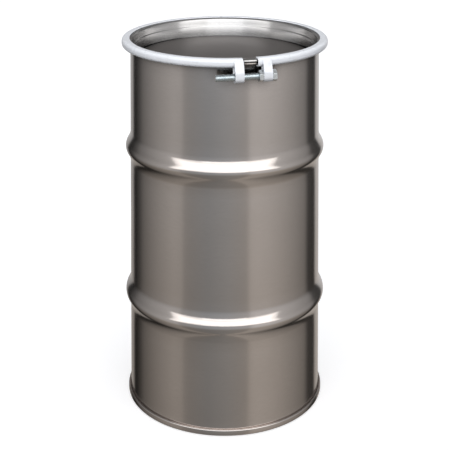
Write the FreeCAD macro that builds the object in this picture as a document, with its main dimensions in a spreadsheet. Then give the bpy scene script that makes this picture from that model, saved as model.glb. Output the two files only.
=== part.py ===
import FreeCAD, Part
import Sketcher
import math
import os
import re

# An open-head steel drum of 16 US gallons: a rolled shell with two hoops, a double-seamed
# bottom head, a stepped cover with its gasket, and a split closure ring drawn shut by a bolt.
# Millimetres. The drum's axis is Z, its base is at z = 0 and the closure bolt is on the -Y side.

Vector = FreeCAD.Vector
doc = FreeCAD.newDocument("open_head_drum")

SIZES = {
    # shell
    "sheet_gauge": 1.2,
    "wall_radius": 178.4,
    "hoop_low": 193.5,
    "hoop_high": 469.0,
    "hoop_reach": 12.0,
    "hoop_half": 19.0,
    "hoop_crest_bend": 16.0,
    "hoop_foot_bend": 34.0,
    "curl_top": 665.8,
    "curl_depth": 4.0,
    "curl_radius": 188.6,
    "curl_bend": 1.95,
    "curl_lip_radius": 182.5,
    # double seam at the bottom; the hooks are the folded edges of shell and head
    "shell_hook_radius": 181.3,
    "shell_hook_base": 2.0,
    "shell_hook_top": 8.6,
    "hook_bend": 1.2,
    "head_hook_radius": 179.85,
    "head_hook_end": 4.0,
    "chime_radius": 183.0,
    "chime_top": 10.2,
    "chime_top_bend": 1.5,
    "chime_base_bend": 2.3,
    "chuck_radius": 177.0,
    "head_panel_height": 14.0,
    "head_panel_radius": 172.5,
    "head_panel_bend": 4.0,
    "compound_radius": 181.95,
    "compound_depth": 0.4,
    "compound_low": 4.0,
    "compound_high": 8.4,
    # cover
    "rim_radius": 190.3,
    "rim_top": 671.1,
    "skirt_end": 667.8,
    "rim_bend": 2.4,
    "plug_radius": 176.6,
    "ledge_height": 657.4,
    "ledge_drop": 1.2,
    "ledge_radius": 174.4,
    "ledge_bend": 1.8,
    "inner_wall_radius": 173.6,
    "groove_radius": 170.1,
    "groove_height": 634.6,
    "groove_bend": 1.7,
    "ramp_foot_radius": 166.5,
    "panel_radius": 164.3,
    "panel_height": 637.8,
    "gasket_inner": 181.0,
    "gasket_outer": 188.6,
    "gasket_base": 666.5,
    "gasket_top": 670.3,
    "gasket_round": 1.2,
    # closure ring
    "band_gauge": 2.0,
    "band_radius": 194.5,
    "band_top": 673.0,
    "band_base": 659.8,
    "band_lip_radius": 181.4,
    "band_bend": 5.2,
    "gap_angle": 8.0,
    "split_angle": 0.1,
    # lugs
    "bolt_axis_radius": 195.0,
    "bolt_axis_height": 643.4,
    "lug_width": 16.0,
    "threaded_lug_face": -13.8,
    "plain_lug_face": 37.5,
    "lug_eye_radius": 10.2,
    "lug_eye_bend": 9.8,
    "lug_back_radius": 190.0,
    "lug_top": 670.8,
    "lug_top_radius": 198.9,
    "lug_shoulder": 652.0,
    "lug_shoulder_bend": 12.0,
    "lug_corner_bend": 1.6,
    "strap_gauge": 4.3,
    "window_slope_top": 667.6,
    "window_slope_radius": 194.0,
    "weld_radius": 1.9,
    "weld_line_radius": 195.0,
    # bolt and nut: 1/2-13 UNC, 4 in under the head
    "thread_radius": 6.35,
    "bore_radius": 6.42,
    "bolt_length": 101.6,
    "tip_chamfer": 1.3,
    "across_flats": 19.05,
    "head_height": 8.1,
    "hex_chamfer": 1.3,
    "nut_height": 7.9,
    "nut_gap": 0.1,
}

sizes = doc.addObject("Spreadsheet::Sheet", "Sizes")
for row, (name, value) in enumerate(SIZES.items(), start=1):
    sizes.set(f"A{row}", name)
    sizes.set(f"B{row}", str(value))
    sizes.setAlias(f"B{row}", name)
doc.recompute()


def bound(formula):
    """The formula with each cell's name written as a reference to the spreadsheet."""
    return re.sub(r"[a-z_]+", lambda word: f"Sizes.{word[0]}" if word[0] in SIZES else word[0], formula)


def value(formula):
    return float(sizes.evalExpression(bound(formula)))


def bind(item, **formulas):
    """Ties properties of an object to cells; a double underscore in a name stands for a dot."""
    for name, formula in formulas.items():
        item.setExpression(name.replace("__", "."), bound(formula))
    return item


def tangent_points(before, corner, after, bend):
    """Where a bend of this radius leaves the two straight runs that meet at the corner, and its middle."""
    first = (before - corner).normalize()
    second = (after - corner).normalize()
    half_angle = first.getAngle(second) / 2
    run = bend / math.tan(half_angle)
    towards_centre = (first + second).normalize()
    middle = corner + towards_centre * (bend / math.sin(half_angle) - bend)
    return corner + first * run, middle, corner + second * run


def draw(sketch, corners, closed):
    """Draws straight runs between the corners, rounded by tangent arcs, every size tied to a cell.

    Each corner is (radius from the axis, height) or (radius, height, bend radius), as formulas.
    """
    count = len(corners)
    places = [Vector(value(c[0]), value(c[1]), 0) for c in corners]
    rounded = [len(c) == 3 for c in corners]
    starts = list(places)
    ends = list(places)
    arcs = {}
    for i in range(count):
        if rounded[i]:
            ends[i], middle, starts[i] = tangent_points(
                places[i - 1], places[i], places[(i + 1) % count], value(corners[i][2])
            )
            arcs[i] = sketch.addGeometry(Part.Arc(ends[i], middle, starts[i]), False)
    runs = {}
    for i in range(count if closed else count - 1):
        after = (i + 1) % count
        runs[i] = sketch.addGeometry(Part.LineSegment(starts[i], ends[after]), False)

    def fix(kind, *picked):
        return sketch.addConstraint(Sketcher.Constraint(kind, *picked))

    for i, corner in enumerate(corners):
        incoming = runs.get((i - 1) % count)
        outgoing = runs.get(i)
        if rounded[i]:
            arc = arcs[i]
            arc_start = 1 if sketch.getPoint(arc, 1).distanceToPoint(ends[i]) < 1e-6 else 2
            fix("Tangent", incoming, 2, arc, arc_start)
            fix("Tangent", arc, 3 - arc_start, outgoing, 1)
            radius = fix("Radius", arc, value(corner[2]))
            sketch.setExpression(f"Constraints[{radius}]", bound(corner[2]))
            mark = sketch.addGeometry(Part.Point(places[i]), True)
            fix("PointOnObject", mark, 1, incoming)
            fix("PointOnObject", mark, 1, outgoing)
            held = (mark, 1)
        else:
            held = (outgoing, 1) if outgoing is not None else (incoming, 2)
            if incoming is not None and outgoing is not None:
                fix("Coincident", incoming, 2, outgoing, 1)
        for kind, formula, axis in (("DistanceX", corner[0], -2), ("DistanceY", corner[1], -1)):
            if formula == "0":
                fix("PointOnObject", *held, axis)
            else:
                distance = fix(kind, -1, 1, *held, value(formula))
                sketch.setExpression(f"Constraints[{distance}]", bound(formula))


UPRIGHT = FreeCAD.Rotation(Vector(1, 0, 0), 90)
ALONG_X = FreeCAD.Rotation(Vector(0, 1, 0), 90)
FACING_FRONT = FreeCAD.Rotation(Vector(0, 0, 1), -90)


def half_section(name, corners, closed):
    """A sketch of one half of a round part's section, standing in the XZ plane."""
    sketch = doc.addObject("Sketcher::SketchObject", name)
    sketch.Placement = FreeCAD.Placement(Vector(), UPRIGHT)
    draw(sketch, corners, closed)
    return sketch


def revolved(name, section, turn="360"):
    """The section swept round the drum's axis."""
    solid = doc.addObject("Part::Revolution", name)
    solid.Source = section
    solid.Axis = Vector(0, 0, 1)
    solid.Solid = True
    return bind(solid, Angle=turn)


def sheet_section(name, corners, gauge):
    """The cut face of bent sheet: the path of its middle, thickened by half its gauge each side."""
    face = doc.addObject("Part::Offset2D", name + "_face")
    face.Source = half_section(name + "_path", corners, closed=False)
    face.Fill = True
    return bind(face, Value=f"{gauge} / 2")


def pressed_disc(name, corners, gauge):
    """Bent sheet that closes over the drum's axis: its section is trimmed at the axis."""
    half_plane = doc.addObject("Part::Plane", name + "_trim")
    half_plane.Placement = FreeCAD.Placement(Vector(), UPRIGHT)
    bind(half_plane, Length="band_radius", Width="band_top")
    section = doc.addObject("Part::Common", name + "_section")
    section.Base = sheet_section(name, corners, gauge)
    section.Tool = half_plane
    return revolved(name, section)


def turned(name, corners):
    """A solid turned about the Z axis from a closed outline."""
    return revolved(name, half_section(name + "_outline", corners, closed=True))


def joined(kind, name, base, tool):
    result = doc.addObject("Part::" + kind, name)
    result.Base = base
    result.Tool = tool
    return result


def cylinder(name, radius, height):
    return bind(doc.addObject("Part::Cylinder", name), Radius=radius, Height=height)


def hoop(height):
    """The three corners of a rolling hoop, upwards."""
    return [
        ("wall_radius", f"{height} - hoop_half", "hoop_foot_bend"),
        ("wall_radius + hoop_reach", height, "hoop_crest_bend"),
        ("wall_radius", f"{height} + hoop_half", "hoop_foot_bend"),
    ]


def make_shell():
    """The rolled wall, from its hook in the bottom seam to the curl at its mouth."""
    path = [
        ("shell_hook_radius", "shell_hook_top"),
        ("shell_hook_radius", "shell_hook_base", "hook_bend"),
        ("wall_radius", "shell_hook_base", "hook_bend"),
        *hoop("hoop_low"),
        *hoop("hoop_high"),
        ("wall_radius", "curl_top", "curl_bend"),
        ("curl_radius", "curl_top", "curl_bend"),
        ("curl_radius", "curl_top - curl_depth", "curl_bend"),
        ("curl_lip_radius", "curl_top - curl_depth"),
    ]
    return revolved("body_shell", sheet_section("body_shell", path, "sheet_gauge"))


def make_bottom_head():
    """The recessed bottom, folded down, out, up and over the shell's hook."""
    path = [
        ("0", "head_panel_height"),
        ("head_panel_radius", "head_panel_height", "head_panel_bend"),
        ("chuck_radius", "head_panel_height / 2", "head_panel_bend"),
        ("chuck_radius", "sheet_gauge / 2", "chime_top_bend"),
        ("chime_radius", "sheet_gauge / 2", "chime_base_bend"),
        ("chime_radius", "chime_top", "chime_top_bend"),
        ("head_hook_radius", "chime_top", "chime_top_bend"),
        ("head_hook_radius", "head_hook_end"),
    ]
    return pressed_disc("bottom_head", path, "sheet_gauge")


def make_seam_compound():
    """Sealing compound between the shell's hook and the head's outer wall."""
    outer = "compound_radius + compound_depth"
    return turned(
        "seam_compound",
        [
            ("compound_radius", "compound_low"),
            (outer, "compound_low"),
            (outer, "compound_high"),
            ("compound_radius", "compound_high"),
        ],
    )


def make_cover():
    """The cover: a rim over the curl, a wall in two steps, a groove and a flat panel."""
    path = [
        ("rim_radius", "skirt_end"),
        ("rim_radius", "rim_top", "rim_bend"),
        ("plug_radius", "rim_top", "rim_bend"),
        ("ledge_radius", "ledge_height", "ledge_bend"),
        ("inner_wall_radius", "ledge_height - ledge_drop", "ledge_bend"),
        ("groove_radius", "groove_height", "groove_bend"),
        ("ramp_foot_radius", "groove_height", "groove_bend"),
        ("panel_radius", "panel_height", "groove_bend"),
        ("0", "panel_height"),
    ]
    return pressed_disc("cover", path, "sheet_gauge")


def make_gasket():
    """The seal that lies in the cover's rim, on the curl."""
    return turned(
        "cover_gasket",
        [
            ("gasket_inner", "gasket_base", "gasket_round"),
            ("gasket_outer", "gasket_base", "gasket_round"),
            ("gasket_outer", "gasket_top", "gasket_round"),
            ("gasket_inner", "gasket_top", "gasket_round"),
        ],
    )


def make_band(name, start):
    """Half of the closure ring's channel band, from its open end or from the split at the back."""
    path = [
        ("band_lip_radius", "band_top"),
        ("band_radius", "band_top", "band_bend"),
        ("band_radius", "band_base", "band_bend"),
        ("band_lip_radius + band_gauge / 2", "band_base"),
    ]
    band = revolved(name, sheet_section(name, path, "band_gauge"), "180 - gap_angle / 2 - split_angle")
    band.Placement.Rotation = FreeCAD.Rotation(Vector(0, 0, 1), 1)
    return bind(band, Placement__Rotation__Angle=start)


def body_sketch(body, name):
    """A sketch on the XZ plane of a body."""
    sketch = body.newObject("Sketcher::SketchObject", name)
    plane = next(f for f in body.Origin.OriginFeatures if f.Role == "XZ_Plane")
    sketch.AttachmentSupport = (plane, [""])
    sketch.MapMode = "FlatFace"
    return sketch


def make_lug(name, face, band):
    """A strap looped round the bolt: outer leg up the band's face, inner leg up to its underside.

    Its section stands in the XZ plane of its body, which is turned so that X points out of the front.
    """
    body = doc.addObject("PartDesign::Body", name + "_strap")
    near = "bolt_axis_radius - lug_eye_radius"
    far = "bolt_axis_radius + lug_eye_radius"
    eye_base = "bolt_axis_height - lug_eye_radius"
    outline = body_sketch(body, name + "_outline")
    draw(
        outline,
        [
            ("lug_back_radius", "lug_top"),
            ("lug_top_radius", "lug_top", "lug_corner_bend"),
            (far, "lug_shoulder", "lug_shoulder_bend"),
            (far, eye_base, "lug_eye_bend"),
            (near, eye_base, "lug_eye_bend"),
            (near, "band_base"),
            ("lug_back_radius", "band_base"),
        ],
        closed=True,
    )
    strap = body.newObject("PartDesign::Pad", name + "_pad")
    strap.Profile = outline
    bind(strap, Length="lug_width")
    doc.recompute()

    window = body_sketch(body, name + "_window")
    draw(
        window,
        [
            (f"{near} + strap_gauge", "bolt_axis_height"),
            (f"{far} - strap_gauge", "bolt_axis_height"),
            (f"{far} - strap_gauge", "lug_shoulder", "lug_corner_bend"),
            ("window_slope_radius", "window_slope_top"),
            (f"{near} + strap_gauge", "window_slope_top"),
        ],
        closed=True,
    )
    opening = body.newObject("PartDesign::Pocket", name + "_opening")
    opening.Profile = window
    opening.Type = "ThroughAll"
    opening.Midplane = True
    body.Placement = FreeCAD.Placement(Vector(), FACING_FRONT)
    bind(body, Placement__Base__x=face)

    bore = cylinder(name + "_bore", "bore_radius", "2 * lug_width")
    bore.Placement.Rotation = ALONG_X
    bind(
        bore,
        Placement__Base__x=f"{face} - 1.5 * lug_width",
        Placement__Base__y="-bolt_axis_radius",
        Placement__Base__z="bolt_axis_height",
    )
    channel = cylinder(name + "_channel", "band_radius - band_gauge / 2", "band_top - band_base")
    bind(channel, Placement__Base__z="band_base")
    looped = joined("Cut", name + "_looped", body, bore)
    cleared = joined("Cut", name + "_cleared", looped, channel)
    return joined("Cut", name, cleared, band)


def make_welds(name, face, lug, band):
    """The two fillet welds of a lug: round the band's shoulder and under its lower leg."""
    ring = bind(
        doc.addObject("Part::Torus", name + "_ring"),
        Radius1="weld_line_radius",
        Radius2="weld_radius",
        Placement__Base__z="lug_top",
    )
    slab = bind(
        doc.addObject("Part::Box", name + "_slab"),
        Length="lug_width",
        Width="weld_line_radius",
        Height="band_top",
        Placement__Base__x=f"{face} - lug_width",
        Placement__Base__y="-weld_line_radius - weld_radius",
    )
    under_bead = cylinder(name + "_under_bead", "weld_radius", "lug_width")
    under_bead.Placement.Rotation = ALONG_X
    bind(
        under_bead,
        Placement__Base__x=f"{face} - lug_width",
        Placement__Base__y="-bolt_axis_radius + lug_eye_radius",
        Placement__Base__z="band_base - band_gauge / 2",
    )
    beads = {"top": joined("Common", name + "_top_bead", ring, slab), "under": under_bead}
    pair = doc.addObject("Part::Compound", name)
    pair.Links = [
        joined("Cut", f"{name}_{place}", joined("Cut", f"{name}_{place}_outside", bead, band), lug)
        for place, bead in beads.items()
    ]
    return pair


def hexagon(name, height):
    """A hexagonal blank with the corners of its outer face turned off at 30 degrees."""
    prism = doc.addObject("Part::Prism", name + "_blank")
    prism.Polygon = 6
    bind(prism, Circumradius="across_flats / sqrt(3)", Height=height)
    corner = "across_flats / sqrt(3) + hex_chamfer"
    turning = turned(
        name + "_turning",
        [
            ("0", "0"),
            (corner, "0"),
            (corner, f"{height} - hex_chamfer"),
            ("across_flats / 2 - hex_chamfer", height),
            ("0", height),
        ],
    )
    return joined("Common", name + "_hexagon", prism, turning)


def make_bolt():
    """The closure bolt, head outside the plain lug and tip past the threaded lug."""
    shank = turned(
        "bolt_shank",
        [
            ("0", "-bolt_length"),
            ("thread_radius - tip_chamfer", "-bolt_length"),
            ("thread_radius", "-bolt_length + tip_chamfer"),
            ("thread_radius", "0"),
            ("0", "0"),
        ],
    )
    bolt = joined("Fuse", "closure_bolt", hexagon("bolt_head", "head_height"), shank)
    bolt.Placement.Rotation = ALONG_X
    return bind(
        bolt,
        Placement__Base__x="plain_lug_face + nut_gap",
        Placement__Base__y="-bolt_axis_radius",
        Placement__Base__z="bolt_axis_height",
    )


def make_nut():
    """The jam nut, run up against the plain lug."""
    bore = cylinder("nut_bore", "bore_radius", "nut_height")
    nut = joined("Cut", "jam_nut", hexagon("nut", "nut_height"), bore)
    nut.Placement.Rotation = ALONG_X
    return bind(
        nut,
        Placement__Base__x="plain_lug_face - lug_width - nut_height - nut_gap",
        Placement__Base__y="-bolt_axis_radius",
        Placement__Base__z="bolt_axis_height",
    )


band_right = make_band("ring_band_right", "-90 + gap_angle / 2")
band_left = make_band("ring_band_left", "90 + split_angle")
lug_threaded = make_lug("threaded_lug", "threaded_lug_face", band_left)
lug_plain = make_lug("plain_lug", "plain_lug_face", band_right)
parts = [
    make_shell(),
    make_bottom_head(),
    make_seam_compound(),
    make_cover(),
    make_gasket(),
    band_left,
    lug_threaded,
    make_welds("threaded_lug_welds", "threaded_lug_face", lug_threaded, band_left),
    band_right,
    lug_plain,
    make_welds("plain_lug_welds", "plain_lug_face", lug_plain, band_right),
    make_bolt(),
    make_nut(),
]
doc.recompute()

for item in doc.Objects:
    if "Invalid" in item.State or "Error" in item.State:
        raise RuntimeError(f"{item.Name} failed: {item.State}")
for part in parts:
    if part.Shape.isNull() or not part.Shape.isValid() or not part.Shape.Solids:
        raise RuntimeError(f"{part.Name} has no valid solid")

os.makedirs("parts", exist_ok=True)
for part in parts:
    part.Shape.exportStep(f"parts/{part.Label}.step")
    print(part.Label, len(part.Shape.Solids), round(part.Shape.Volume / 1000, 2), "cm3")
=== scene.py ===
import math

import bmesh
import bpy
from mathutils import Matrix, Vector, noise


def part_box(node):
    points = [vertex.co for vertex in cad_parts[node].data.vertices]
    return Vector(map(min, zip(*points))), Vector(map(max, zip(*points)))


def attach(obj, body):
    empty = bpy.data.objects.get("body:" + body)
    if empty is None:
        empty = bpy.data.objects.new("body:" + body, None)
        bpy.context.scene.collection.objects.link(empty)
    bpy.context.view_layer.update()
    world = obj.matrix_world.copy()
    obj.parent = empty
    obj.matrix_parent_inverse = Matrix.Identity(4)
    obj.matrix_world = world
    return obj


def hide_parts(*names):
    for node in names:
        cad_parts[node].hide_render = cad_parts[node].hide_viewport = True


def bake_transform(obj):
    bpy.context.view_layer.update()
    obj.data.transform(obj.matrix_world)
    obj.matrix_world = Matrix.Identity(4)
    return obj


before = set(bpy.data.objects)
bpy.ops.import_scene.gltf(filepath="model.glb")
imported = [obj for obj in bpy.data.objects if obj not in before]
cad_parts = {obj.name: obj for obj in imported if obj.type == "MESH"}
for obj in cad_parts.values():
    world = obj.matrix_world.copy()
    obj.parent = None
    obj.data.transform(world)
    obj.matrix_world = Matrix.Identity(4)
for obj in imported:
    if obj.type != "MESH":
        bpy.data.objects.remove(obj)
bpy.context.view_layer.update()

# An open-head stainless drum with its cover on, held by a white split ring and a zinc bolt.
# Sizes are in millimetres and become metres in each mesh. A section's points are
# (radius from the drum's axis, height), in the middle of its sheet. The closure bolt is on
# the -Y side.
MM = 0.001

# The body: its gauge, its wall's radius, its hoops' heights and its curl.
SHEET = 1.2
WALL = 178.4
HOOP_HEIGHTS = (193.5, 469.0)
CURL_RADIUS, CURL_HEIGHT, CURL_BEND = 188.6, 665.8, 1.95

# The side weld: how far round it is, and its ridge.
SEAM_ANGLE = math.radians(60)
SEAM_HALF_WIDTH = 3.0
SEAM_HEIGHT = 0.22
SEAM_TOP = 655.0

# The cover's flat panel: its edge's radius, and its height.
PANEL = 164.3
PANEL_HEIGHT = 637.8

# The closure ring: its band, the straps of its lugs and the weld beads. A bead is
# (name, radius from the drum's axis, height, its own radius, seed of its ripples).
BAND_SHEET = 2.0
BAND_WEB = 194.5
BAND_LOW, BAND_HIGH = 659.8, 673.0
GAP_HALF_ANGLE = 4.0
STRAP = 3.7
EYE_RADIUS = 8.3
WELDS = (("top", 195.6, 670.6, 1.7, 1.0), ("under", 185.0, 657.6, 1.6, 7.0))

# The closure bolt, 1/2-13 by 4 inches, and its nut. The thread's form, row by row along a
# pitch, is 1 at the crest and 0 at the root.
BOLT_AXIS = (195.0, 643.4)
BOLT_LENGTH = 101.6
BOLT_TIP_CHAMFER = 1.5
HEAD_HEIGHT = 8.1
WASHER_FACE = 0.4
THREAD_PITCH = 25.4 / 13
THREAD_RADIUS = 6.28
THREAD_DEPTH = 1.0
THREAD_FORM = (1.0, 1.0, 0.5, 0.0, 0.0, 0.0, 0.5, 1.0)
ACROSS_FLATS = 19.05
CHAMFER_FACE = ACROSS_FLATS / 2 - 0.55
COUNTERSINK = 1.2

# How far the camera stands round from the -Y side, in degrees.
VIEW_AZIMUTH = -13.5


# --- sections -------------------------------------------------------------------------------


def bent_path(corners, arc_step=9.0, run_step=9.0):
    """Straight runs through the corners, each bend rounded: (radius, height[, bend radius])."""
    places = [Vector(c[:2]) for c in corners]
    points = [places[0]]
    for before, here, after, corner in zip(places, places[1:], places[2:], corners[1:]):
        first = (before - here).normalized()
        second = (after - here).normalized()
        half = first.angle(second) / 2
        bend = corner[2]
        centre = here + (first + second).normalized() * (bend / math.sin(half))
        start = here + first * (bend / math.tan(half)) - centre
        turn = math.pi - 2 * half
        if first.x * second.y - first.y * second.x > 0:
            turn = -turn
        steps = max(2, math.ceil(abs(math.degrees(turn)) / arc_step))
        arc = [centre + Matrix.Rotation(turn * i / steps, 2) @ start for i in range(steps + 1)]
        points += even_run(points[-1], arc[0], run_step) + arc
    return points + even_run(points[-1], places[-1], run_step) + [places[-1]]


def even_run(start, end, step):
    """Points between two ends, without the ends."""
    count = max(1, round((end - start).length / step))
    return [start.lerp(end, i / count) for i in range(1, count)]


def sheet_section(path, gauge, round_start=True, round_end=True):
    """The closed outline of bent sheet whose middle follows the path.

    A rounded end has a tip and, at this share of half the gauge from the middle, two shoulders.
    """
    half = gauge / 2
    shoulder = 0.7
    normals = []
    for i in range(len(path)):
        along = (path[min(i + 1, len(path) - 1)] - path[max(i - 1, 0)]).normalized()
        normals.append(Vector((-along.y, along.x)))
    left = [p + n * half for p, n in zip(path, normals)]
    right = [p - n * half for p, n in zip(path, normals)]
    start = end = []
    if round_end:
        out = (path[-1] - path[-2]).normalized() * half
        end = [path[-1] + out * shoulder + normals[-1] * half * shoulder, path[-1] + out]
        end.append(path[-1] + out * shoulder - normals[-1] * half * shoulder)
    if round_start:
        out = (path[0] - path[1]).normalized() * half
        start = [path[0] + out * shoulder - normals[0] * half * shoulder, path[0] + out]
        start.append(path[0] + out * shoulder + normals[0] * half * shoulder)
    return left + end + right[::-1] + start


# --- meshes ---------------------------------------------------------------------------------


def mark_edges(bm):
    """Stores how sharp the surface turns at each vertex, for wear: 1 from 60 degrees up."""
    layer = bm.verts.layers.float.new("edge")
    for vert in bm.verts:
        turns = [edge.calc_face_angle_signed(0.0) for edge in vert.link_edges]
        vert[layer] = min(1.0, max(0.0, *turns) / math.radians(60))


def finish_mesh(name, bm, sharp_angle=35.0, wears=False):
    """Turns a bmesh in millimetres into a smooth-shaded object in metres."""
    bmesh.ops.scale(bm, vec=(MM, MM, MM), verts=bm.verts)
    bmesh.ops.recalc_face_normals(bm, faces=bm.faces)
    if wears:
        mark_edges(bm)
    mesh = bpy.data.meshes.new(name)
    bm.to_mesh(mesh)
    bm.free()
    mesh.shade_smooth()
    mesh.set_sharp_from_angle(angle=math.radians(sharp_angle))
    piece = bpy.data.objects.new(name, mesh)
    bpy.context.scene.collection.objects.link(piece)
    return piece


def lathe(name, outline, segments=360, start=0.0, stop=360.0, shape=None, wears=False):
    """Sweeps a closed outline round the drum's axis; shape moves each point off the true round.

    Points that meet, such as those on the axis, become one.
    """
    full = stop - start >= 360.0
    columns = segments if full else segments + 1
    bm = bmesh.new()
    rings = []
    for column in range(columns):
        angle = math.radians(start + (stop - start) * column / segments)
        ring = []
        for radius, height in outline:
            place = Vector((radius * math.cos(angle), radius * math.sin(angle), height))
            ring.append(bm.verts.new(shape(place, angle) if shape else place))
        rings.append(ring)
    count = len(outline)
    for column in range(segments):
        here = rings[column]
        after = rings[(column + 1) % columns]
        for i in range(count):
            j = (i + 1) % count
            bm.faces.new((here[i], here[j], after[j], after[i]))
    if not full:
        bm.faces.new(rings[0])
        bm.faces.new(rings[-1])
    bmesh.ops.remove_doubles(bm, verts=bm.verts, dist=0.002)
    return finish_mesh(name, bm, wears=wears)


def wavy(depth, wavelength, seed):
    """A shape for lathe(): rolled sheet is never quite round, so its radius wanders a little."""
    at_axis = 1.0

    def shape(place, angle):
        radius = place.xy.length
        if radius < at_axis:
            return place
        wander = noise.noise(Vector((place.x, place.y, place.z + seed)) / wavelength) * depth
        swell = 1 + wander / radius
        return Vector((place.x * swell, place.y * swell, place.z))

    return shape


def hoop(height):
    """The three corners of a rolling hoop, upwards."""
    reach, half, foot, crest = 12.0, 19.0, 34.0, 16.0
    return [(WALL, height - half, foot), (WALL + reach, height, crest), (WALL, height + half, foot)]


def make_shell():
    """The rolled wall with its hoops, its hook and its curl, and the low ridge of its side weld."""
    hook, foot, hook_bend = 181.3, 2.0, 1.2
    curl_foot = CURL_HEIGHT - 4.0
    path = bent_path(
        [
            (hook, 8.6),
            (hook, foot, hook_bend),
            (WALL, foot, hook_bend),
            *(corner for height in HOOP_HEIGHTS for corner in hoop(height)),
            (WALL, CURL_HEIGHT, CURL_BEND),
            (CURL_RADIUS, CURL_HEIGHT, CURL_BEND),
            (CURL_RADIUS, curl_foot, CURL_BEND),
            (182.5, curl_foot),
        ],
        arc_step=8.0,
        run_step=20.0,
    )
    wander = wavy(0.16, 95.0, 3.0)

    def shape(place, angle):
        off = abs(angle - SEAM_ANGLE) * WALL
        ridge = SEAM_HEIGHT * max(0.0, 1 - off / SEAM_HALF_WIDTH) if place.z < SEAM_TOP else 0.0
        place = wander(place, angle)
        return place + Vector((*place.xy.normalized(), 0)) * ridge

    return lathe("rolled_shell", sheet_section(path, SHEET), shape=shape)


def make_bottom():
    """The recessed bottom head, folded down, out and up round the shell's hook."""
    panel, foot, top = 14.0, 0.6, 10.2
    inside, outside, fold = 177.0, 183.0, 179.85
    path = bent_path(
        [
            (0.0, panel),
            (172.5, panel, 4.0),
            (inside, 7.0, 4.0),
            (inside, foot, 1.5),
            (outside, foot, 2.3),
            (outside, top, 1.5),
            (fold, top, 1.5),
            (fold, 4.0),
        ]
    )
    return lathe("seamed_bottom", sheet_section(path, SHEET, round_start=False))


def make_cover():
    """The cover: a rim over the curl, a wall in two steps, a groove and the flat panel."""
    rim, rim_top, rim_bend = 190.3, 671.1, 2.4
    groove, bend = 634.6, 1.7
    path = bent_path(
        [
            (rim, 667.8),
            (rim, rim_top, rim_bend),
            (176.6, rim_top, rim_bend),
            (174.4, 657.4, 1.8),
            (173.6, 656.2, 1.8),
            (170.1, groove, bend),
            (166.5, groove, bend),
            (PANEL, PANEL_HEIGHT, bend),
            (0.0, PANEL_HEIGHT),
        ],
        run_step=6.0,
    )
    outline = sheet_section(path, SHEET, round_end=False)
    return lathe("stepped_cover", outline, shape=wavy(0.1, 80.0, 11.0))


def make_gasket():
    """The flat rubber ring between the curl and the cover's rim."""
    height, thickness = 668.4, 3.6
    path = bent_path([(182.6, height), (187.0, height)])
    return lathe("rim_gasket", sheet_section(path, thickness), segments=180)


def make_band():
    """The closure ring: one springy channel from end to end of its gap."""
    bend = 5.2
    path = bent_path(
        [
            (181.4, BAND_HIGH),
            (BAND_WEB, BAND_HIGH, bend),
            (BAND_WEB, BAND_LOW, bend),
            (182.4, BAND_LOW),
        ],
        run_step=2.5,
    )
    start = -90 + GAP_HALF_ANGLE
    sweep = 360 - 2 * GAP_HALF_ANGLE
    return lathe(
        "closure_band",
        sheet_section(path, BAND_SHEET),
        segments=round(sweep),
        start=start,
        stop=start + sweep,
        shape=wavy(0.15, 60.0, 5.0),
        wears=True,
    )


def hug(x, radius, height):
    """Where a lug's point goes: straight along X at the bolt, round the band at the band."""
    straight_below, bend_over = 650.0, 10.0
    share = min(1.0, max(0.0, (height - straight_below) / bend_over))
    eased = share * share * (3 - 2 * share)
    round_it = math.sqrt(max(radius**2 - x**2, 0.0))
    return Vector((x, -(radius + (round_it - radius) * eased), height))


def make_lug(name, low_x, high_x):
    """A strap looped round the bolt, its legs welded to the band's face and to its underside."""
    axis_radius, axis_height = BOLT_AXIS
    near, far = axis_radius - EYE_RADIUS, axis_radius + EYE_RADIUS
    base = axis_height - EYE_RADIUS
    short_run = 0.15
    bend = EYE_RADIUS - short_run
    face_top, under_top = (197.0, 669.6), (near, 657.2)
    path = bent_path(
        [face_top, (far, 652.0, 12.0), (far, base, bend), (near, base, bend), under_top],
        run_step=3.0,
    )
    outline = sheet_section(path, STRAP)
    slices, rounding = 9, 0.8
    bm = bmesh.new()
    rings = []
    for i in range(slices):
        x = low_x + (high_x - low_x) * i / (slices - 1)
        rings.append([bm.verts.new(hug(x, *point)) for point in outline])
    count = len(outline)
    for here, after in zip(rings, rings[1:]):
        for i in range(count):
            j = (i + 1) % count
            bm.faces.new((here[i], here[j], after[j], after[i]))
    ends = [bm.faces.new(rings[0]), bm.faces.new(rings[-1])]
    rims = list({edge for face in ends for edge in face.edges})
    bmesh.ops.bevel(bm, geom=rims, offset=rounding, segments=3, affect="EDGES", profile=0.5)
    return finish_mesh(name, bm, sharp_angle=50.0, wears=True)


def make_bead(name, low_x, high_x, radius, height, own_radius, seed):
    """A weld bead along X, rippled and a little uneven, that tapers at its ends."""
    bm = bmesh.new()
    around, along = 14, 56
    ripples, ripple_depth, unevenness = 11, 0.07, 0.1
    rings = []
    for i in range(along + 1):
        share = i / along
        x = low_x + (high_x - low_x) * share
        ripple = 1 + ripple_depth * math.sin(share * 2 * math.pi * ripples)
        ripple += unevenness * noise.noise(Vector((x, seed, 0)))
        taper = math.sqrt(max(0.0, 1 - (2 * share - 1) ** 8))
        size = own_radius * ripple * max(taper, 0.05)
        ring = []
        for k in range(around):
            turn = 2 * math.pi * k / around
            place = hug(x, radius, height)
            ring.append(bm.verts.new(place + Vector((0, math.cos(turn), math.sin(turn))) * size))
        rings.append(ring)
    for here, after in zip(rings, rings[1:]):
        for k in range(around):
            m = (k + 1) % around
            bm.faces.new((here[k], here[m], after[m], after[k]))
    bm.faces.new(rings[0])
    bm.faces.new(rings[-1])
    return finish_mesh(name, bm, sharp_angle=60.0)


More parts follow.
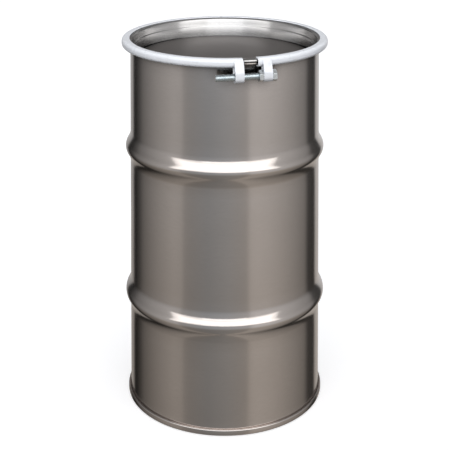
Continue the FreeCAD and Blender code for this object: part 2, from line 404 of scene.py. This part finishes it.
def hex_rings(low, high, chamfer_low, chamfer_high, columns=96):
    """Rings of (x, distance, angle) for a hexagon along X whose corners are turned off at its ends."""
    flat = ACROSS_FLATS / 2
    bevel, off_corners = 0.25, 0.18
    slope = math.tan(math.radians(30))
    corner_limit = flat / math.cos(math.radians(30)) - off_corners
    rings = []
    for x, side, cut in ((low, 1, chamfer_low), (high, -1, chamfer_high)):
        inner = []
        outer = []
        for k in range(columns):
            angle = 2 * math.pi * k / columns
            nearest = (angle + math.pi / 6) % (math.pi / 3) - math.pi / 6
            distance = min(flat / math.cos(nearest), corner_limit)
            drop = (distance - CHAMFER_FACE) * slope if cut else bevel
            inner.append((x, CHAMFER_FACE if cut else distance - bevel, angle))
            outer.append((x + side * drop, distance, angle))
        rings.append((inner, outer))
    (low_inner, low_outer), (high_inner, high_outer) = rings
    return [low_inner, low_outer, high_outer, high_inner]


def around_bolt(x, distance, angle):
    """A point at this distance and angle about the bolt's axis."""
    radius, height = BOLT_AXIS
    return Vector((x, -radius + distance * math.cos(angle), height + distance * math.sin(angle)))


def loft(bm, rings, cap_start, cap_end):
    """Joins rings about the bolt's axis, each to the next, and caps the ends that are asked for."""
    verts = [[bm.verts.new(around_bolt(*point)) for point in ring] for ring in rings]
    for here, after in zip(verts, verts[1:]):
        for k in range(len(here)):
            m = (k + 1) % len(here)
            bm.faces.new((here[k], here[m], after[m], after[k]))
    if cap_start:
        bm.faces.new(verts[0])
    if cap_end:
        bm.faces.new(verts[-1])


def circle(x, distance, columns=96):
    """A ring for loft() at this distance from the bolt's axis."""
    return [(x, distance, 2 * math.pi * k / columns) for k in range(columns)]


def make_bolt():
    """A full-thread hexagon bolt: washer face, chamfered head and a true right-hand helix."""
    off_lug, into_head = 0.1, 0.2
    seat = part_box("plain_lug")[1].x / MM + off_lug
    crown = seat + HEAD_HEIGHT
    washer = ACROSS_FLATS / 2 - 0.7
    bm = bmesh.new()
    rings = [circle(seat, washer), circle(seat + WASHER_FACE, washer)]
    rings += hex_rings(seat + WASHER_FACE, crown, False, True)
    rings += [circle(crown, CHAMFER_FACE - 1.5), circle(crown, 1.0)]
    loft(bm, rings, True, True)
    thread(bm, seat - BOLT_LENGTH, seat + into_head)
    return finish_mesh("zinc_bolt", bm, sharp_angle=32.0, wears=True)


def thread(bm, low_x, high_x, columns=36):
    """A helical thread: each row of points follows the helix, so its end meets a later row's start."""
    rows_a_turn = len(THREAD_FORM)
    rows = math.ceil((high_x - low_x) / THREAD_PITCH * rows_a_turn) + rows_a_turn
    grid = []
    for row in range(-rows_a_turn, rows + 1):
        distance = THREAD_RADIUS - THREAD_DEPTH * (1 - THREAD_FORM[row % rows_a_turn])
        line = []
        for k in range(columns):
            x = low_x + THREAD_PITCH * (row / rows_a_turn + k / columns)
            held = min(max(x, low_x), high_x)
            tip_limit = THREAD_RADIUS - BOLT_TIP_CHAMFER + (held - low_x)
            place = around_bolt(held, min(distance, tip_limit), 2 * math.pi * k / columns)
            line.append(bm.verts.new(place))
        grid.append(line)

    def at(row, k):
        """The point k steps along a row, which goes on into the row that starts one turn later."""
        return grid[row + rows_a_turn * (k // columns)][k % columns]

    for row in range(len(grid) - 1):
        for k in range(columns):
            if row + 1 + rows_a_turn * ((k + 1) // columns) < len(grid):
                bm.faces.new((at(row, k), at(row, k + 1), at(row + 1, k + 1), at(row + 1, k)))
    bmesh.ops.remove_doubles(bm, verts=[v for line in grid for v in line], dist=0.001)
    no_area = 1e-7
    flat = [f for f in bm.faces if f.calc_area() < no_area]
    bmesh.ops.delete(bm, geom=flat, context="FACES")
    bmesh.ops.holes_fill(bm, edges=[e for e in bm.edges if e.is_boundary], sides=0)


def make_nut():
    """A hexagon nut, chamfered on both sides, with a countersunk bore."""
    low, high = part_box("jam_nut")
    left, right = low.x / MM, high.x / MM
    play = 0.12
    bore = THREAD_RADIUS + play
    bm = bmesh.new()
    rings = [circle(left + COUNTERSINK, bore), circle(left, bore + COUNTERSINK)]
    rings += hex_rings(left, right, True, True)
    rings += [circle(right, bore + COUNTERSINK), circle(right - COUNTERSINK, bore)]
    rings += [circle(left + COUNTERSINK, bore)]
    loft(bm, rings, False, False)
    bmesh.ops.remove_doubles(bm, verts=bm.verts, dist=0.001)
    return finish_mesh("hex_nut", bm, sharp_angle=32.0, wears=True)


# --- materials ------------------------------------------------------------------------------


class Tree:
    """A small builder of node trees."""

    def __init__(self, owner):
        owner.use_nodes = True
        self.nodes = owner.node_tree.nodes
        self.links = owner.node_tree.links

    def node(self, kind, **settings):
        """A new node; a setting is an input's value where an input has its name."""
        made = self.nodes.new(kind)
        for key, setting in settings.items():
            if key in made.inputs:
                made.inputs[key].default_value = setting
            else:
                setattr(made, key, setting)
        return made

    def link(self, source, target):
        self.links.new(source, target)

    def spread(self, source, low, high, start=0.3, stop=0.7):
        """The source's values from start to stop, spread from low to high."""
        made = self.node("ShaderNodeMapRange", interpolation_type="SMOOTHSTEP")
        self.link(source, made.inputs["Value"])
        for key, number in (("From Min", start), ("From Max", stop), ("To Min", low), ("To Max", high)):
            made.inputs[key].default_value = number
        return made.outputs["Result"]

    def maths(self, operation, *sources):
        """Arithmetic on numbers and other nodes' outputs."""
        made = self.node("ShaderNodeMath", operation=operation)
        for socket, source in zip(made.inputs, sources):
            if isinstance(source, (int, float)):
                socket.default_value = source
            else:
                self.link(source, socket)
        return made.outputs[0]

    def mix(self, factor, first, second, blend="MIX"):
        """A mix of two colours, each an RGB triple or another node's output."""
        made = self.node("ShaderNodeMix", data_type="RGBA", blend_type=blend)
        first_colour, second_colour, mixed = made.inputs[6], made.inputs[7], made.outputs[2]
        self.link(factor, made.inputs["Factor"])
        for socket, source in ((first_colour, first), (second_colour, second)):
            if isinstance(source, tuple):
                socket.default_value = (*source, 1)
            else:
                self.link(source, socket)
        return mixed

    def tinted(self, colour, share):
        """The colour at a share of its brightness, a number or another node's output."""
        made = self.node("ShaderNodeVectorMath", operation="SCALE")
        self.link(colour, made.inputs["Vector"])
        if isinstance(share, float):
            made.inputs["Scale"].default_value = share
        else:
            self.link(share, made.inputs["Scale"])
        return made.outputs["Vector"]


class Shader(Tree):
    """A material's node tree."""

    def __init__(self, name):
        self.material = bpy.data.materials.new(name)
        super().__init__(self.material)
        self.surface = self.nodes["Principled BSDF"]

    def place(self, stretch=(1, 1, 1)):
        """Object coordinates in metres, stretched."""
        coordinates = self.node("ShaderNodeTexCoord")
        mapping = self.node("ShaderNodeMapping", Scale=stretch)
        self.link(coordinates.outputs["Object"], mapping.inputs["Vector"])
        return mapping.outputs["Vector"]

    def radius(self):
        """The distance from the drum's axis, in metres."""
        flat = self.node("ShaderNodeVectorMath", operation="MULTIPLY")
        flat.inputs[1].default_value = (1, 1, 0)
        self.link(self.place(), flat.inputs[0])
        length = self.node("ShaderNodeVectorMath", operation="LENGTH")
        self.link(flat.outputs["Vector"], length.inputs[0])
        return length.outputs["Value"]

    def height(self):
        """The height above the ground, in metres."""
        split = self.node("ShaderNodeSeparateXYZ")
        self.link(self.place(), split.inputs["Vector"])
        return split.outputs["Z"]

    def edge(self):
        """How sharp the piece's edges are here, as mark_edges() stored it."""
        return self.node("ShaderNodeAttribute", attribute_name="edge").outputs["Fac"]

    def openness(self, reach):
        """How open the surface is to its surroundings: low in a crook, 1 in the clear."""
        return self.node("ShaderNodeAmbientOcclusion", samples=8, Distance=reach).outputs["AO"]

    def noise(self, scale, stretch=(1, 1, 1), detail=4.0, roughness=0.55):
        """Noise between 0 and 1, mostly near 0.5."""
        made = self.node("ShaderNodeTexNoise", Scale=scale, Detail=detail, Roughness=roughness)
        self.link(self.place(stretch), made.inputs["Vector"])
        return made.outputs["Fac"]

    def bump(self, *layers):
        """Stacks bumps, each (height source, depth in metres), and feeds the surface's normal."""
        below = None
        for source, depth in layers:
            made = self.node("ShaderNodeBump", Distance=depth, Strength=1.0)
            self.link(source, made.inputs["Height"])
            if below:
                self.link(below, made.inputs["Normal"])
            below = made.outputs["Normal"]
        self.link(below, self.surface.inputs["Normal"])

    def set(self, **values):
        """Sets the surface's inputs, with an underline for each space of a name."""
        for key, setting in values.items():
            self.surface.inputs[key.replace("_", " ")].default_value = setting


def stainless(name, colour, rough, grain_stretch, satin_within=0.0):
    """Bright stainless sheet: rolling grain, faint clouding and a few dry smears.

    A crook, such as the one under the closure ring, gets painted shade: its colour is darkened
    by ambient occlusion, except near the ground. Within the given radius of the drum's axis,
    in metres, the sheet is duller and darker.
    """
    shader = Shader(name)
    grain = shader.noise(260.0, grain_stretch, detail=5.0, roughness=0.6)
    cloud = shader.noise(5.0, detail=3.0)
    smear = shader.noise(22.0, (1.0, 1.0, 0.35), detail=6.0, roughness=0.62)
    pale, streak = (tuple(part * tone for part in colour) for tone in (1.07, 0.935))
    tint = shader.mix(shader.spread(cloud, 0, 1), colour, pale)
    bright = shader.mix(shader.spread(grain, 0.0, 0.5), tint, streak)
    clouded = shader.spread(cloud, rough - 0.012, rough + 0.012)
    polish = shader.maths("ADD", clouded, shader.spread(grain, 0, 0.02))
    dulled = shader.maths("ADD", polish, shader.spread(smear, 0.0, 0.05, 0.58, 0.75))
    if satin_within:
        satin_colour, satin_roughness = (0.30, 0.280, 0.272), 0.32
        satin = shader.spread(shader.radius(), 1.0, 0.0, satin_within - 0.002, satin_within + 0.0015)
        bright = shader.mix(satin, bright, satin_colour)
        dulled = shader.maths("ADD", dulled, shader.maths("MULTIPLY", satin, satin_roughness))
    # Painted shade: the colour darkens where ambient occlusion finds a crook, as under the closure ring, but
    # not near the ground.
    in_the_open = shader.spread(shader.openness(0.03), 0, 1, 0.40, 0.98)
    low_down = shader.spread(shader.height(), 1, 0, 0.10, 0.20)
    undimmed = shader.maths("MAXIMUM", in_the_open, low_down)
    # The painted shade's colour: the steel at a tenth of its brightness.
    dimmed = shader.tinted(bright, 0.10)
    shader.link(shader.mix(undimmed, dimmed, bright), shader.surface.inputs["Base Color"])
    shader.link(dulled, shader.surface.inputs["Roughness"])
    shader.bump((grain, 0.0000012))
    shader.set(Metallic=1.0)
    return shader


def enamel():
    """White enamel over steel: orange peel, a few scuffs, and bare metal where edges have chipped."""
    shader = Shader("white_enamel")
    peel = shader.noise(900.0, detail=2.0)
    grime = shader.noise(70.0, detail=6.0, roughness=0.65)
    chip = shader.noise(420.0, detail=6.0, roughness=0.7)
    wear = shader.maths("MULTIPLY", shader.edge(), 0.13)
    chipped = shader.spread(shader.maths("ADD", chip, wear), 0, 1, 0.72, 0.74)
    undimmed, dimmed, bare = (0.80, 0.82, 0.855), (0.73, 0.745, 0.765), (0.34, 0.32, 0.30)
    paint = shader.mix(shader.spread(grime, 0, 1, 0.5, 0.8), undimmed, dimmed)
    shader.link(shader.mix(chipped, paint, bare), shader.surface.inputs["Base Color"])
    shader.link(shader.spread(grime, 0.26, 0.40), shader.surface.inputs["Roughness"])
    shader.bump((peel, 0.00001), (shader.maths("SUBTRACT", 1.0, chipped), 0.00008))
    shader.set(Coat_Weight=0.35, Coat_Roughness=0.12)
    return shader


def zinc():
    """Bright zinc plate, faintly blue, with the mottle of plating and its edges rubbed bright."""
    shader = Shader("zinc_plate")
    mottle = shader.noise(240.0, detail=5.0, roughness=0.6)
    patch = shader.noise(60.0, detail=3.0)
    dull, pale, bright = (0.55, 0.63, 0.67), (0.64, 0.70, 0.72), (0.76, 0.79, 0.80)
    colour = shader.mix(shader.spread(patch, 0, 1), dull, pale)
    rubbed = shader.spread(shader.edge(), 0, 1, 0.3, 0.9)
    shader.link(shader.mix(rubbed, colour, bright), shader.surface.inputs["Base Color"])
    shader.link(shader.spread(mottle, 0.24, 0.36), shader.surface.inputs["Roughness"])
    shader.bump((mottle, 0.000012))
    shader.set(Metallic=1.0)
    return shader


def rubber(name, colour, pale):
    """Matt rubber with fine pores and a pale bloom in patches."""
    shader = Shader(name)
    pores = shader.noise(1500.0, detail=3.0)
    bloom = shader.noise(90.0, detail=4.0)
    shader.link(shader.mix(shader.spread(bloom, 0, 1), colour, pale), shader.surface.inputs["Base Color"])
    shader.link(shader.spread(pores, 0.62, 0.85), shader.surface.inputs["Roughness"])
    shader.bump((pores, 0.00005))
    return shader


# --- the stage ------------------------------------------------------------------------------

# The studio as the metal sees it, by azimuth from the camera's side (positive to its right).
# Each stop is (azimuth in degrees, brightness); pairs close together are the edges of panels.
STUDIO = (
    (-180, 0.70), (-162, 0.45), (-148, 0.32), (-144, 0.04), (-136, 0.02), (-124, 0.085), (-116, 0.17),
    (-104, 0.245), (-86, 0.35), (-64, 0.46), (-53, 0.455), (-49, 0.35), (-40, 0.33), (-20, 0.345),
    (4, 0.405), (26, 0.425), (31, 0.585), (38, 0.60), (52, 0.575), (68, 0.50), (88, 0.39), (112, 0.25),
    (116, 0.175), (121, 0.07), (136, 0.045), (141, 0.07), (144, 0.48), (155, 0.58), (168, 0.62), (180, 0.70),
)

# The softbox in front is a nest of panels, so that it fades towards its foot and its ends, and
# a small bright one at its foot. Each is (width, foot, top, radiance), in metres, and stands a
# little further off than the one before.
SOFTBOX_DISTANCE = 2.0
SOFTBOX_SPACING = 0.01
SOFTBOX = (
    (7.6, 0.81, 3.6, 0.75),
    (7.0, 0.93, 3.6, 0.2),
    (6.3, 1.06, 3.6, 0.2),
    (5.6, 1.22, 3.6, 0.2),
    (4.9, 1.40, 3.6, 0.25),
    (4.2, 1.60, 3.6, 0.3),
    (1.9, 0.81, 1.1, 0.7),
)


def make_world():
    """The studio: bright panels for the metal, a softer light for the rest, and a pale backdrop."""
    world = bpy.data.worlds.new("studio")
    bpy.context.scene.world = world
    tree = Tree(world)
    tree.nodes.clear()

    turned = tree.node("ShaderNodeMapping", Rotation=(0, 0, math.radians(-VIEW_AZIMUTH)))
    tree.link(tree.node("ShaderNodeTexCoord").outputs["Generated"], turned.inputs["Vector"])
    split = tree.node("ShaderNodeSeparateXYZ")
    tree.link(turned.outputs["Vector"], split.inputs["Vector"])
    across, away, up = split.outputs
    azimuth = tree.maths("DEGREES", tree.maths("ARCTAN2", across, tree.maths("MULTIPLY", away, -1.0)))
    elevation = tree.maths("DEGREES", tree.maths("ARCSINE", up))

    ramp = tree.node("ShaderNodeValToRGB")
    tree.link(tree.maths("MULTIPLY_ADD", azimuth, 1 / 360, 0.5), ramp.inputs["Fac"])
    stops = ramp.color_ramp.elements
    while len(stops) > 1:
        stops.remove(stops[0])
    coolest, cool_reach, cool_share = -12, 40, 0.085
    for i, (angle, bright) in enumerate(STUDIO):
        stop = stops[0] if i == 0 else stops.new(angle / 360 + 0.5)
        stop.position = angle / 360 + 0.5
        cool = cool_share * max(0.0, 1 - abs(angle - coolest) / cool_reach)
        stop.color = (bright * (1 - cool), bright, bright * (1 + cool), 1)
    panels = tree.tinted(ramp.outputs["Color"], tree.spread(elevation, 0.66, 1.16, -36, -4))
    low_down = tree.spread(elevation, 0, 1, -12, -30)
    warmed = tree.mix(low_down, panels, (1.07, 1.0, 0.92), blend="MULTIPLY")
    side = tree.maths("ABSOLUTE", azimuth)
    behind = tree.maths("MULTIPLY", tree.spread(side, 0, 1, 146, 158), tree.spread(elevation, 0, 1, -6, 4))
    level = tree.mix(behind, warmed, (0.185, 0.178, 0.175))
    studio = tree.mix(tree.spread(elevation, 0, 1, 45, 75), level, (0.42, 0.42, 0.42))

    floor_glow, wall_glow, ceiling_glow = (0.07, 0.07, 0.075), (0.52, 0.53, 0.555), (0.76, 0.77, 0.79)
    low = tree.mix(tree.spread(elevation, 0, 1, -8, 4), floor_glow, wall_glow)
    soft = tree.mix(tree.spread(elevation, 0, 1, 4, 80), low, ceiling_glow)
    path = tree.node("ShaderNodeLightPath")
    lit = tree.mix(path.outputs["Is Glossy Ray"], soft, studio)
    shown = tree.mix(path.outputs["Is Camera Ray"], lit, (0.975, 0.975, 0.975))
    background = tree.node("ShaderNodeBackground")
    tree.link(shown, background.inputs["Color"])
    tree.link(background.outputs[0], tree.node("ShaderNodeOutputWorld").inputs["Surface"])


def place_light(light, matrix):
    """Stands a light where the matrix says, out of the camera's sight."""
    lamp = bpy.data.objects.new(light.name, light)
    lamp.matrix_world = matrix
    lamp.visible_camera = False
    bpy.context.scene.collection.objects.link(lamp)
    return lamp


def make_floor():
    """Pale paper that only the camera sees, so that the drum's metal reflects the studio alone."""
    half = 14.0
    bm = bmesh.new()
    corners = [(-half, -half, 0), (half, -half, 0), (half, half, 0), (-half, half, 0)]
    bm.faces.new([bm.verts.new(Vector(c) / MM) for c in corners])
    floor = finish_mesh("studio_floor", bm)
    floor.visible_glossy = False
    floor.visible_diffuse = False
    shader = Shader("studio_paper")
    paper = shader.mix(shader.noise(3.0), (0.93, 0.93, 0.93), (0.95, 0.95, 0.95))
    shader.link(paper, shader.surface.inputs["Base Color"])
    shader.set(Roughness=0.9, Specular_IOR_Level=0.0, Emission_Color=(1, 1, 1, 1), Emission_Strength=0.42)
    floor.data.materials.append(shader.material)
    return floor


def make_lights(floor):
    """The softbox, which doesn't light the floor, and a soft key from the camera's side."""
    all_but_floor = bpy.data.collections.new("all_but_floor")
    all_but_floor.objects.link(floor)
    all_but_floor.collection_objects[0].light_linking.link_state = "EXCLUDE"
    turn = Matrix.Rotation(math.radians(VIEW_AZIMUTH), 4, "Z")
    for i, (width, foot, top, radiance) in enumerate(SOFTBOX):
        softbox = bpy.data.lights.new("softbox", "AREA")
        softbox.shape = "RECTANGLE"
        softbox.size = width
        softbox.size_y = top - foot
        softbox.energy = radiance * math.pi * softbox.size * softbox.size_y
        off = SOFTBOX_DISTANCE + SOFTBOX_SPACING * i
        middle = Matrix.Translation((0, -off, (foot + top) / 2))
        lamp = place_light(softbox, turn @ middle @ Matrix.Rotation(math.pi / 2, 4, "X"))
        lamp.light_linking.receiver_collection = all_but_floor

    key = bpy.data.lights.new("soft_key", "SUN")
    key.energy = 0.35
    key.angle = math.radians(60)
    lamp = place_light(key, turn @ Matrix.Rotation(math.radians(38), 4, "X"))
    lamp.visible_glossy = False


def make_camera():
    """A view camera with its back kept upright: the drum's sides stay parallel, as with a rising front.

    The camera hangs from a rig whose parent matrix tips its axis off the square of its film. Its
    place is in metres, its tilt in radians, and its lens, its film and how far the middle of the
    film is off the lens's axis are in millimetres.
    """
    distance, height, tilt = 2.1318, 1.1355, 0.043
    lens, film, off_across, off_down = 90.424, 36.0, -0.024, -30.696
    azimuth = math.radians(VIEW_AZIMUTH)
    right = Vector((math.cos(azimuth), math.sin(azimuth), 0))
    level = Vector((-math.sin(azimuth), math.cos(azimuth), 0))
    ahead = level * math.cos(tilt) - Vector((0, 0, 1)) * math.sin(tilt)
    film_up = level * math.sin(tilt) + Vector((0, 0, 1)) * math.cos(tilt)
    middle = ahead + film_up * (off_down / lens) - right * (off_across / lens)
    stretch = middle.length
    columns = (right, film_up, -middle / stretch)
    skew = Matrix([[c[i] for c in columns] for i in range(3)]).to_4x4()

    rig = bpy.data.objects.new("camera_rig", None)
    rig.location = -level * distance + Vector((0, 0, height))
    camera = bpy.data.objects.new("camera", bpy.data.cameras.new("camera"))
    for item in (rig, camera):
        bpy.context.scene.collection.objects.link(item)
    camera.parent = rig
    camera.matrix_parent_inverse = skew
    camera.data.sensor_width = film
    camera.data.lens = lens * stretch
    bpy.context.scene.camera = camera


# --- the drum -------------------------------------------------------------------------------


def fit(piece, shader, slot, body, *nodes):
    """Gives a piece its finish, stands it for its CAD nodes and makes it ride on their body."""
    piece.data.materials.append(shader.material)
    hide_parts(*nodes)
    if body:
        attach(piece, body)
    return piece


make_camera()
make_world()
make_lights(make_floor())

wall_steel = stainless("stainless_wall", (0.612, 0.560, 0.530), 0.135, (0.3, 0.3, 6.0))
cover_steel = stainless(
    "stainless_cover", (0.56, 0.55, 0.545), 0.17, (2.0, 2.0, 2.0), satin_within=PANEL * MM
)
white = enamel()
plate = zinc()
black = rubber("gasket_rubber", (0.02, 0.02, 0.02), (0.04, 0.04, 0.038))
latex = rubber("sealing_compound", (0.30, 0.08, 0.05), (0.36, 0.12, 0.07))

fit(make_shell(), wall_steel, "stainless", "drum", "body_shell")
fit(make_bottom(), wall_steel, "stainless", "drum", "bottom_head")
fit(make_cover(), cover_steel, "cover_stainless", "cover", "cover")
fit(make_gasket(), black, "gasket_rubber", "cover", "cover_gasket")

band = fit(make_band(), white, "white_enamel", None, "ring_band_left", "ring_band_right")
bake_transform(band)

for side, lug, body in (("left", "threaded_lug", "ring_left"), ("right", "plain_lug", "ring_right")):
    low, high = (corner.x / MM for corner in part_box(lug))
    fit(make_lug(side + "_lug", low, high), white, "white_enamel", body, lug)
    for place, *sizes in WELDS:
        bead = make_bead(f"{side}_{place}_weld", low, high, *sizes)
        fit(bead, white, "white_enamel", body, lug + "_welds")

fit(make_bolt(), plate, "zinc", "bolt", "closure_bolt")
fit(make_nut(), plate, "zinc", "nut", "jam_nut")

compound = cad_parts["seam_compound"]
compound.data.materials.clear()
compound.data.materials.append(latex.material)

bpy.context.scene.view_settings.view_transform = "Standard"
